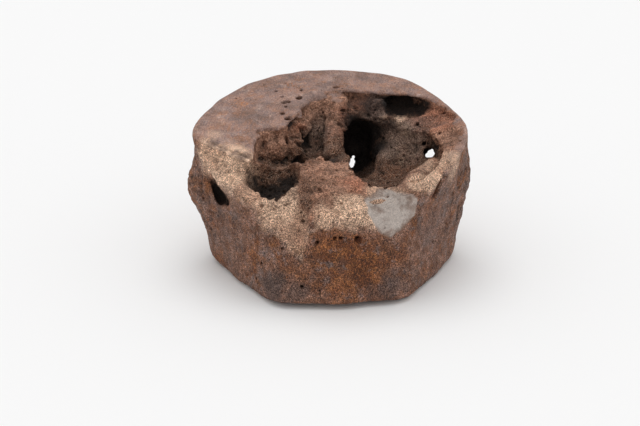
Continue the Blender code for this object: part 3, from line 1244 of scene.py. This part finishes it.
    def coats(self, cells: Cells, points: np.ndarray) -> dict[Tint, np.ndarray]:
        """Works out every coat at the skin's points.

        Args:
            cells: The finished cells.
            points: The skin's points.

        Returns:
            One array for each coat.
        """
        zones = zones_of(self.drum, points)
        noise = self.noise("coat")
        reach = self.coating
        solid = cells.distance[:, :, ::-1] < 0
        open_up = ~np.logical_or.accumulate(solid, axis=2)[:, :, ::-1]
        sky = cells.sample(cells.blurred(open_up.astype(np.float32), reach.sky_blur), points)
        # painted shade in pits: points sunk below the softened surface get darker
        near = np.clip(cells.distance, -reach.near_clip, reach.near_clip)
        near = cells.blurred(near, reach.near_blur)
        pit_shade = np.clip(-cells.sample(near, points) / reach.pit_depth, 0.0, 1.0)
        deep = smooth_step(*reach.deep, zones.inward) * zones.broken
        # painted shade: broken bone that sees little open sky and lies deep under the unworn form
        # is painted near black
        roofed = (1.0 - smooth_step(*reach.shaded, sky)) * smooth_step(*reach.roofed, zones.inward)
        painted_shade = zones.broken * roofed
        out = np.hypot(points[:, 0], points[:, 1])
        outwards, round_it = reach.ring_stretch
        polar = np.stack([outwards * out, round_it * np.radians(zones.angle), 0.0 * out], 1)
        ring = 0.5 + 0.5 * noise.layers(polar.astype(np.float32), reach.ring_lump, 3)
        found = {
            Tint.PLATE: zones.plate,
            Tint.OPEN: zones.broken,
            Tint.DEEP: deep,
            Tint.DARK: painted_shade,
            Tint.RING: ring,
            Tint.PIT: pit_shade,
        }
        for tint in (Tint.CREAM, Tint.CRUST, Tint.WARM, Tint.STAIN, Tint.GREY):
            found[tint] = np.zeros(len(points), np.float32)
        for patch in self.patches:
            cover = patch.at(points, zones.angle, noise) * (zones.inward < reach.patch_depth)
            found[patch.tint] = np.maximum(found[patch.tint], cover)
        for spot in self.spots:
            found[spot.tint] = np.maximum(found[spot.tint], spot.at(points, noise))
        found[Tint.DARK] *= smooth_step(*reach.painted_shade, zones.inward)
        found[Tint.DARK] *= 1.0 - reach.cream_over_painted_shade * found[Tint.CREAM]
        return found

    def mesh(self, source: bpy.types.Object) -> bpy.types.Object:
        """Builds the skin over the whole bone.

        Args:
            source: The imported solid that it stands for.

        Returns:
            The new object, with its coats as attributes.
        """
        cells = self.fill(source)
        self.wear(cells)
        self.sculpt(cells)
        self.prick(cells)
        cells.distance = cells.blurred(cells.distance, self.polish * self.step)
        points, faces = cells.skin()
        low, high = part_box(source.name)
        points = np.clip(points, np.asarray(low, np.float32), np.asarray(high, np.float32))
        LOG.info("skin of %d points and %d faces", len(points), len(faces))
        mesh = bpy.data.meshes.new("vertebra_bone")
        mesh.vertices.add(len(points))
        mesh.vertices.foreach_set("co", points.astype(np.float32).ravel())
        mesh.loops.add(faces.size)
        mesh.loops.foreach_set("vertex_index", faces.astype(np.int32).ravel())
        mesh.polygons.add(len(faces))
        mesh.polygons.foreach_set("loop_start", np.arange(0, faces.size, 4, dtype=np.int32))
        mesh.polygons.foreach_set("use_smooth", np.ones(len(faces), bool))
        mesh.update(calc_edges=True)
        mesh.validate()
        for tint, values in self.coats(cells, points).items():
            layer = mesh.attributes.new(tint.value, "FLOAT", "POINT")
            layer.data.foreach_set("value", values.astype(np.float32))
        bone = bpy.data.objects.new("vertebra_bone", mesh)
        bpy.context.scene.collection.objects.link(bone)
        return bone


class Graph:
    """Lays nodes into one material or node group."""

    def __init__(self, tree: bpy.types.NodeTree) -> None:
        """Keeps the tree.

        Args:
            tree: Where the nodes go.
        """
        self.tree = tree

    def node(self, kind: str, **settings: object) -> bpy.types.Node:
        """A new node with some of its settings.

        Args:
            kind: Blender's name of the node type.
            settings: Properties to set on it.

        Returns:
            The node.
        """
        made = self.tree.nodes.new(kind)
        for name, value in settings.items():
            setattr(made, name, value)
        return made

    def feed(self, socket: bpy.types.NodeSocket, value: object) -> None:
        """Links a socket to another, or sets its number or colour.

        Args:
            socket: The input.
            value: An output to link, or a plain value.
        """
        if isinstance(value, bpy.types.NodeSocket):
            self.tree.links.new(value, socket)
        else:
            socket.default_value = value

    def mix(self, factor: object, low: object, high: object, how: str = "MIX") -> object:
        """Mixes two colours.

        Args:
            factor: Share of the second, a number or an output.
            low: First colour.
            high: Second colour.
            how: Blender's name of the way to blend.

        Returns:
            The mixed colour's output.
        """
        made = self.node("ShaderNodeMix", data_type="RGBA", blend_type=how)
        for number, value in ((0, factor), (6, low), (7, high)):
            self.feed(made.inputs[number], value)
        return made.outputs[2]

    def math(self, how: str, first: object, second: object = 0.0, clamp: bool = False) -> object:
        """One sum on two numbers.

        Args:
            how: Blender's name of the sum.
            first: A number or an output.
            second: A number or an output.
            clamp: Whether the result stays between 0 and 1.

        Returns:
            The result's output.
        """
        made = self.node("ShaderNodeMath", operation=how, use_clamp=clamp)
        self.feed(made.inputs[0], first)
        self.feed(made.inputs[1], second)
        return made.outputs[0]

    def times(self, first: object, second: object, clamp: bool = False) -> object:
        """The product of two numbers."""
        return self.math("MULTIPLY", first, second, clamp)

    def plus(self, first: object, second: object) -> object:
        """The sum of two numbers."""
        return self.math("ADD", first, second)

    def ramp(self, value: object, low: object, high: object, start: float, end: float) -> object:
        """Maps a span of numbers smoothly onto another.

        Args:
            value: The number's output.
            low: Where the span begins.
            high: Where it ends.
            start: Result at its beginning.
            end: Result at its end.

        Returns:
            The result's output.
        """
        made = self.node("ShaderNodeMapRange", interpolation_type="SMOOTHSTEP")
        for name, item in (
            ("Value", value),
            ("From Min", low),
            ("From Max", high),
            ("To Min", start),
            ("To Max", end),
        ):
            self.feed(made.inputs[name], item)
        return made.outputs["Result"]

    def coat(self, tint: Tint) -> object:
        """The output of one of the mesh's coats."""
        return self.node("ShaderNodeAttribute", attribute_name=tint.value).outputs["Fac"]

    def use(self, group: bpy.types.NodeTree, **values: object) -> bpy.types.Node:
        """Places a node group with its own values.

        Args:
            group: The group.
            values: Its inputs by name.

        Returns:
            The group's node.
        """
        made = self.node("ShaderNodeGroup", node_tree=group)
        for name, value in values.items():
            self.feed(made.inputs[name], value)
        return made


def new_group(name: str, inputs: dict[str, float | None], outputs: Sequence[str]) -> Graph:
    """Starts a node group whose vector input is called Vector.

    Args:
        name: The group's name.
        inputs: Names of its number inputs and their usual values.
        outputs: Names of its number outputs.

    Returns:
        The graph to fill, with its first node the group's input and its second the output.
    """
    tree = bpy.data.node_groups.new(name, "ShaderNodeTree")
    tree.interface.new_socket("Vector", in_out="INPUT", socket_type="NodeSocketVector")
    for title, value in inputs.items():
        socket = tree.interface.new_socket(title, in_out="INPUT", socket_type="NodeSocketFloat")
        socket.default_value = value
    for title in outputs:
        tree.interface.new_socket(title, in_out="OUTPUT", socket_type="NodeSocketFloat")
    graph = Graph(tree)
    graph.node("NodeGroupInput")
    graph.node("NodeGroupOutput")
    return graph


def mottle_group() -> bpy.types.NodeTree:
    """Makes a cloudy mask: lumps of a given width, cut between two levels.

    Returns:
        The node group.
    """
    graph = new_group("mottle", {"Scale": 60.0, "Low": 0.4, "High": 0.6}, ["Mask"])
    given, result = graph.tree.nodes[0], graph.tree.nodes[1]
    cloud = graph.node("ShaderNodeTexNoise")
    graph.feed(cloud.inputs["Vector"], given.outputs["Vector"])
    graph.feed(cloud.inputs["Scale"], given.outputs["Scale"])
    graph.feed(cloud.inputs["Detail"], 3.0)
    graph.feed(cloud.inputs["Roughness"], 0.62)
    mask = graph.ramp(cloud.outputs["Fac"], given.outputs["Low"], given.outputs["High"], 0.0, 1.0)
    graph.feed(result.inputs["Mask"], mask)
    return graph.tree


def speckle_group() -> bpy.types.NodeTree:
    """Makes masks of fine pores, which are painted with shade, and of bright crumbs of old bone,
    drawn out along dense bone.

    Returns:
        The node group.
    """
    graph = new_group(
        "bone_speckle",
        {"Scale": 320.0, "Stretch": 1.0, "Dark": 0.42, "Light": 0.60},
        ["Dark", "Light", "Height"],
    )
    given, result = graph.tree.nodes[0], graph.tree.nodes[1]
    size = graph.node("ShaderNodeCombineXYZ")
    graph.feed(size.inputs["X"], 1.0)
    graph.feed(size.inputs["Y"], 1.0)
    graph.feed(size.inputs["Z"], given.outputs["Stretch"])
    squeeze = graph.node("ShaderNodeVectorMath", operation="MULTIPLY")
    graph.feed(squeeze.inputs[0], given.outputs["Vector"])
    graph.feed(squeeze.inputs[1], size.outputs["Vector"])
    crumbs = graph.node("ShaderNodeTexNoise")
    graph.feed(crumbs.inputs["Vector"], squeeze.outputs["Vector"])
    graph.feed(crumbs.inputs["Scale"], given.outputs["Scale"])
    graph.feed(crumbs.inputs["Detail"], 2.0)
    graph.feed(crumbs.inputs["Roughness"], 0.65)
    value = crumbs.outputs["Fac"]
    low = graph.math("SUBTRACT", given.outputs["Dark"], 0.07)
    high = graph.plus(given.outputs["Light"], 0.08)
    graph.feed(result.inputs["Dark"], graph.ramp(value, low, given.outputs["Dark"], 1.0, 0.0))
    graph.feed(result.inputs["Light"], graph.ramp(value, given.outputs["Light"], high, 0.0, 1.0))
    graph.feed(result.inputs["Height"], value)
    return graph.tree


@dataclass(frozen=True)
class BoneFinish:
    """Old brown bone, stained by the ground, with its coats, pores and crumbs, and painted shade in
    its pores, pits and deep hollows.
    """

    mauve: Colour = (0.285, 0.162, 0.120, 1)
    violet: Colour = (0.205, 0.142, 0.125, 1)
    brown: Colour = (0.170, 0.078, 0.047, 1)
    rust: Colour = (0.165, 0.056, 0.022, 1)
    orange: Colour = (0.255, 0.095, 0.033, 1)
    plate: Colour = (0.335, 0.203, 0.160, 1)
    plate_rust: Colour = (0.350, 0.170, 0.098, 1)
    plate_grey: Colour = (0.285, 0.196, 0.175, 1)
    plate_pale: Colour = (0.470, 0.335, 0.285, 1)
    plate_ochre: Colour = (0.390, 0.160, 0.068, 1)
    tan: Colour = (0.385, 0.205, 0.135, 1)
    spongy: Colour = (0.215, 0.102, 0.062, 1)
    red: Colour = (0.430, 0.170, 0.098, 1)
    ember: Colour = (0.240, 0.092, 0.046, 1)
    dirt: Colour = (0.160, 0.072, 0.040, 1)
    grey: Colour = (0.340, 0.222, 0.172, 1)
    salt: Colour = (0.740, 0.540, 0.400, 1)
    # painted shade: near black for hollows and undercuts
    painted_shade_black: Colour = (0.008, 0.006, 0.005, 1)
    cream: Colour = (0.760, 0.520, 0.370, 1)
    crust: Colour = (0.495, 0.430, 0.388, 1)
    crust_shade: Colour = (0.222, 0.150, 0.116, 1)
    stain: Colour = (0.110, 0.071, 0.060, 1)
    # painted shade: near black inside pores and pits
    pore_shade_black: Colour = (0.030, 0.018, 0.013, 1)
    lit: Colour = (1.8, 1.7, 1.6, 1)
    shaded: Colour = (0.22, 0.19, 0.17, 1)
    roughness: float = 0.72

    # masks: lumps in a metre, and the levels between which they are cut
    mauve_to_brown: Triple = (90, 0.38, 0.62)
    small_lumps: Triple = (210, 0.46, 0.62)
    violet_patches: Triple = (42, 0.50, 0.66)
    rust_to_orange: Triple = (75, 0.42, 0.62)
    violet_in_rust: Triple = (60, 0.54, 0.68)
    rusty_patches: Triple = (26, 0.48, 0.68)
    stain_flecks: Triple = (340, 0.54, 0.66)
    plate_rust_patches: Triple = (64, 0.46, 0.64)
    washed_patches: Triple = (44, 0.54, 0.70)
    plate_violet_patches: Triple = (110, 0.56, 0.68)
    plate_grey_patches: Triple = (50, 0.50, 0.66)
    ochre_freckles: Triple = (300, 0.50, 0.62)
    tan_to_spongy: Triple = (60, 0.42, 0.60)
    crust_patches: Triple = (34, 0.38, 0.66)
    fine_blotches: Triple = (430, 0.40, 0.60)
    broad_blotches: Triple = (36, 0.36, 0.64)

    def material(self) -> bpy.types.Material:
        """Builds the material.

        Returns:
            The finished material.
        """
        made = bpy.data.materials.new("old_bone")
        made.use_nodes = True
        graph = Graph(made.node_tree)
        shader = made.node_tree.nodes["Principled BSDF"]
        mottle, speckle = mottle_group(), speckle_group()
        place = graph.node("ShaderNodeTexCoord").outputs["Object"]

        def cloud(mask: Triple) -> object:
            """A cloudy mask from its scale and its two levels."""
            scale, low, high = mask
            return graph.use(mottle, Vector=place, Scale=scale, Low=low, High=high).outputs["Mask"]

        warm, plate, broken = graph.coat(Tint.WARM), graph.coat(Tint.PLATE), graph.coat(Tint.OPEN)
        deep, cream, crust = graph.coat(Tint.DEEP), graph.coat(Tint.CREAM), graph.coat(Tint.CRUST)
        stain, pit_shade, grey = graph.coat(Tint.STAIN), graph.coat(Tint.PIT), graph.coat(Tint.GREY)
        painted_shade, ring = graph.coat(Tint.DARK), graph.coat(Tint.RING)
        middle, small = cloud(self.mauve_to_brown), cloud(self.small_lumps)

        wall = graph.mix(middle, self.mauve, self.brown)
        wall = graph.mix(cloud(self.violet_patches), wall, self.violet)
        hot = graph.mix(cloud(self.rust_to_orange), self.rust, self.orange)
        hot = graph.mix(cloud(self.violet_in_rust), hot, self.violet)
        heat = graph.math("MAXIMUM", warm, cloud(self.rusty_patches))
        wall = graph.mix(heat, wall, hot)
        wall = graph.mix(graph.times(small, 0.3), wall, self.orange)
        wall = graph.mix(graph.times(cloud(self.stain_flecks), 0.4), wall, self.stain)
        rusty = graph.times(cloud(self.plate_rust_patches), 0.6)
        top = graph.mix(rusty, self.plate, self.plate_rust)
        washed = graph.times(cloud(self.washed_patches), 0.8)
        top = graph.mix(washed, top, self.plate_pale)
        top = graph.mix(graph.times(cloud(self.plate_violet_patches), 0.5), top, self.violet)
        top = graph.mix(cloud(self.plate_grey_patches), top, self.plate_grey)
        top = graph.mix(graph.ramp(ring, 0.45, 0.75, 0.0, 0.55), top, self.plate_grey)
        freckles = graph.times(cloud(self.ochre_freckles), graph.plus(warm, 0.3))
        top = graph.mix(graph.times(freckles, 0.75, True), top, self.plate_ochre)
        colour = graph.mix(plate, wall, top)

        sponge = graph.mix(cloud(self.tan_to_spongy), self.tan, self.spongy)
        sponge = graph.mix(graph.times(warm, 0.85), sponge, self.red)
        inner = graph.mix(grey, self.dirt, self.grey)
        inner = graph.mix(graph.times(warm, 0.8), inner, self.ember)
        sponge = graph.mix(deep, sponge, inner)
        colour = graph.mix(broken, colour, sponge)
        outer = graph.math("SUBTRACT", 1.0, broken, clamp=True)
        ashy = graph.times(grey, graph.times(outer, 0.7))
        colour = graph.mix(ashy, colour, self.violet)
        pale = graph.times(cream, graph.ramp(middle, 0.0, 1.0, 1.0, 0.80))
        colour = graph.mix(pale, colour, self.cream)
        coating = graph.mix(cloud(self.crust_patches), self.crust, self.crust_shade)
        colour = graph.mix(crust, colour, coating)
        colour = graph.mix(graph.times(stain, 0.85), colour, self.stain)

        loose = graph.use(speckle, Vector=place, Scale=780.0, Stretch=1.0, Dark=0.485, Light=0.56)
        dense = graph.use(speckle, Vector=place, Scale=700.0, Stretch=0.55, Dark=0.46, Light=0.58)
        fleck = graph.use(speckle, Vector=place, Scale=1050.0, Stretch=1.0, Dark=0.45, Light=0.575)
        bare = graph.math("SUBTRACT", 1.0, graph.times(plate, 0.50), clamp=True)
        uncrusted = graph.math("SUBTRACT", 1.0, graph.times(crust, 0.8))
        bare = graph.times(bare, uncrusted)
        inside = graph.plus(graph.times(deep, 0.53), 0.42)
        # painted shade: pores, in spots of a fine mask, and pits are darkened
        pore_shade = graph.times(loose.outputs["Dark"], graph.times(broken, inside))
        pore_shade = graph.math("MAXIMUM", pore_shade, graph.times(dense.outputs["Dark"], outer))
        pore_shade = graph.math("MAXIMUM", pore_shade, graph.times(fleck.outputs["Dark"], 0.5))
        pore_shade = graph.times(graph.times(pore_shade, 0.85), bare)
        crumb = graph.math("MAXIMUM", loose.outputs["Light"], fleck.outputs["Light"])
        crumb = graph.times(graph.times(crumb, 0.60), bare)
        bright = graph.mix(1.0, colour, self.lit, "MULTIPLY")
        colour = graph.mix(crumb, colour, bright)
        swing = graph.plus(graph.times(bare, 0.52), 0.08)
        swing = graph.plus(swing, graph.times(deep, 0.22))
        wave = graph.ramp(fleck.outputs["Height"], 0.36, 0.64, -1.0, 1.0)
        grain = graph.times(wave, swing)
        colour = graph.mix(1.0, colour, graph.plus(grain, 1.0), "MULTIPLY")
        fine = graph.math("SUBTRACT", cloud(self.fine_blotches), 0.5)
        fine = graph.times(graph.times(fine, 0.62), bare)
        broad = graph.math("SUBTRACT", cloud(self.broad_blotches), 0.5)
        broad = graph.times(graph.times(broad, 0.38), uncrusted)
        blotch = graph.plus(fine, broad)
        colour = graph.mix(1.0, colour, graph.plus(blotch, 1.0), "MULTIPLY")
        sunk = graph.math("MAXIMUM", inside, graph.times(outer, 0.95))
        sunk = graph.times(sunk, uncrusted)
        # painted shade: pits darken as deep as they sink
        pore_shade = graph.math("MAXIMUM", pore_shade, graph.times(pit_shade, sunk))
        # painted shade: a shaded copy of the colour, then near black, over pores and pits
        shade = graph.mix(1.0, colour, self.shaded, "MULTIPLY")
        colour = graph.mix(pore_shade, colour, graph.mix(0.8, shade, self.pore_shade_black))
        salt = graph.plus(graph.times(deep, 0.8), 0.12)
        salt = graph.times(salt, broken)
        salt = graph.times(salt, fleck.outputs["Light"])
        colour = graph.mix(salt, colour, self.salt)
        # painted shade: the hollows, gaps and undercuts are painted near black
        colour = graph.mix(graph.times(painted_shade, 0.95), colour, self.painted_shade_black)
        graph.feed(shader.inputs["Base Color"], colour)
        graph.feed(shader.inputs["Roughness"], self.roughness)
        graph.feed(shader.inputs["Specular IOR Level"], 0.3)

        height = graph.times(dense.outputs["Height"], bare)
        crumbs = graph.times(loose.outputs["Height"], graph.plus(broken, 0.2))
        height = graph.plus(height, crumbs)
        height = graph.math("SUBTRACT", height, graph.times(pore_shade, 0.8))
        bump = graph.node("ShaderNodeBump")
        graph.feed(bump.inputs["Strength"], 0.8)
        graph.feed(bump.inputs["Distance"], 0.0012)
        graph.feed(bump.inputs["Height"], height)
        graph.feed(shader.inputs["Normal"], bump.outputs["Normal"])
        return made


@dataclass(frozen=True)
class Studio:
    """Pale floor, soft light from above and the camera."""

    floor_half: float = 9.0
    floor_colour: Colour = (0.895, 0.895, 0.895, 1)
    sky: float = 0.77
    sun: float = 0.96
    sun_spread: float = 50.0
    sun_tilt: float = -16.0
    turn: float = -4.5
    place: Triple = (-0.015, -1.514, 0.651)
    dip: float = 21.0
    lens: float = 60.0
    sensor: float = 36.0
    sight: float = 50.0

    def build(self) -> None:
        """Lays the floor, lights it and sets the camera."""
        mesh = bpy.data.meshes.new("floor")
        half = self.floor_half
        corners = [(-half, -half, 0), (half, -half, 0), (half, half, 0), (-half, half, 0)]
        mesh.from_pydata(corners, [], [(0, 1, 2, 3)])
        floor = bpy.data.objects.new("floor", mesh)
        bpy.context.scene.collection.objects.link(floor)
        paper = bpy.data.materials.new("pale_floor")
        paper.use_nodes = True
        shader = paper.node_tree.nodes["Principled BSDF"]
        shader.inputs["Base Color"].default_value = self.floor_colour
        shader.inputs["Roughness"].default_value = 0.9
        shader.inputs["Specular IOR Level"].default_value = 0.1
        mesh.materials.append(paper)

        scene = bpy.context.scene
        scene.view_settings.view_transform = "Standard"
        scene.view_settings.look = "None"
        world = bpy.data.worlds.new("studio")
        world.use_nodes = True
        world.node_tree.nodes["Background"].inputs["Color"].default_value = (1, 1, 1, 1)
        world.node_tree.nodes["Background"].inputs["Strength"].default_value = self.sky
        scene.world = world
        light = bpy.data.lights.new("overhead", "SUN")
        light.energy = self.sun
        light.angle = math.radians(self.sun_spread)
        lamp = bpy.data.objects.new("overhead", light)
        lamp.rotation_euler = (math.radians(self.sun_tilt), 0, 0)
        scene.collection.objects.link(lamp)

        camera = bpy.data.objects.new("camera", bpy.data.cameras.new("camera"))
        camera.data.lens = self.lens
        camera.data.sensor_width = self.sensor
        camera.data.clip_end = self.sight
        swing = Matrix.Rotation(math.radians(self.turn), 4, "Z")
        tilt = Euler((math.radians(90.0 - self.dip), 0, 0)).to_matrix().to_4x4()
        camera.matrix_world = swing @ Matrix.Translation(self.place) @ tilt
        scene.collection.objects.link(camera)
        scene.camera = camera


def main() -> None:
    """Builds the bone, dresses it and sets up the studio."""
    logging.basicConfig(level=logging.INFO, format="%(message)s")
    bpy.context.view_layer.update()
    Studio().build()
    LOG.info("studio ready")
    step = FULL_STEP
    bone = Vertebra(step=step).mesh(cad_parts[NODE])
    bone.data.materials.append(BoneFinish().material())
    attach(bone, BODY)
    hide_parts(NODE)
    LOG.info("piece %s", bone.name)


if __name__ == "__main__":
    main()
